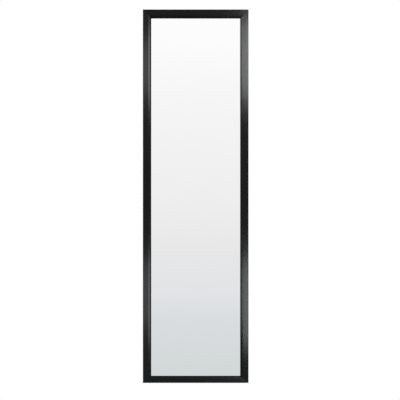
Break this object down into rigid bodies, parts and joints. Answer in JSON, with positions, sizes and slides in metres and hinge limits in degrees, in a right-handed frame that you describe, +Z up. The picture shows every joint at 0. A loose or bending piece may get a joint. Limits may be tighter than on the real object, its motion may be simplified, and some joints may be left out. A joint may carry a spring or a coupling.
{
  "type": "pull out closet mirror",
  "caption": "Full-length framed mirror that slides out of a closet on a ball-bearing slide and swivels on an upright pin, for fixing flat on a side panel.",
  "frame": {"origin": "on the closet panel's surface, at the middle of the four fixing holes", "axes": "+X the way the mirror pulls out of the closet, +Z up, +Y into the panel that it is fixed to; the mirror faces -Y when it is put away"},
  "size_m": [0.3556, 0.0543, 1.2574],
  "materials": {
    "black_steel": "satin",
    "slide_steel": "satin",
    "bright_steel": "polished",
    "screw_steel": "satin",
    "bumper_rubber": "matte",
    "bush_nylon": "satin",
    "black_frame": "satin",
    "key_casting": "matte",
    "silvered_glass": "polished",
    "foam": "matte",
    "hardboard": "matte"
  },
  "bodies": {
    "fixed": {"wall_plate": "black_steel", "slide_rivets": "slide_steel", "outer_slide_member": "slide_steel", "slide_end_bumper": "bumper_rubber"},
    "outer_cage": {"outer_ball_cage": "slide_steel", "outer_balls": "bright_steel"},
    "middle_member": {"middle_slide_member": "slide_steel"},
    "inner_cage": {"inner_ball_cage": "slide_steel", "inner_balls": "bright_steel"},
    "carriage": {"inner_slide_member": "slide_steel", "swivel_bracket": "black_steel", "bracket_screws": "screw_steel", "swivel_pin": "bright_steel", "spring_washer": "bright_steel", "pin_clip": "bright_steel", "parking_bumper": "bumper_rubber", "bumper_screw": "screw_steel"},
    "mirror_panel": {"hinge_leaf": "black_steel", "leaf_screws": "screw_steel", "upper_bush": "bush_nylon", "lower_bush": "bush_nylon", "left_stile": "black_frame", "right_stile": "black_frame", "top_rail": "black_frame", "bottom_rail": "black_frame", "top_left_corner_key": "key_casting", "top_right_corner_key": "key_casting", "bottom_left_corner_key": "key_casting", "bottom_right_corner_key": "key_casting", "corner_screws": "screw_steel", "mirror_glass": "silvered_glass", "foam_sheet": "foam", "backing_board": "hardboard", "backing_clips": "slide_steel", "clip_screws": "screw_steel"}
  },
  "joints": [
    {"name": "pull_out", "type": "slide", "parent": "fixed", "child": "carriage", "axis": [1, 0, 0], "range_m": [0, 0.35]},
    {"name": "middle_travel", "type": "slide", "parent": "fixed", "child": "middle_member", "axis": [1, 0, 0], "range_m": [0, 0.175]},
    {"name": "outer_cage_travel", "type": "slide", "parent": "fixed", "child": "outer_cage", "axis": [1, 0, 0], "range_m": [0, 0.0875]},
    {"name": "inner_cage_travel", "type": "slide", "parent": "fixed", "child": "inner_cage", "axis": [1, 0, 0], "range_m": [0, 0.2625]},
    {"name": "mirror_swivel", "type": "hinge", "parent": "carriage", "child": "mirror_panel", "pos_m": [0.1703, -0.025, 0], "axis": [0, 0, 1], "range_deg": [0, 90]}
  ],
  "couplings": [
    {"joint": "middle_travel", "follows": "pull_out", "ratio": 0.5},
    {"joint": "outer_cage_travel", "follows": "pull_out", "ratio": 0.25},
    {"joint": "inner_cage_travel", "follows": "pull_out", "ratio": 0.75}
  ]
}
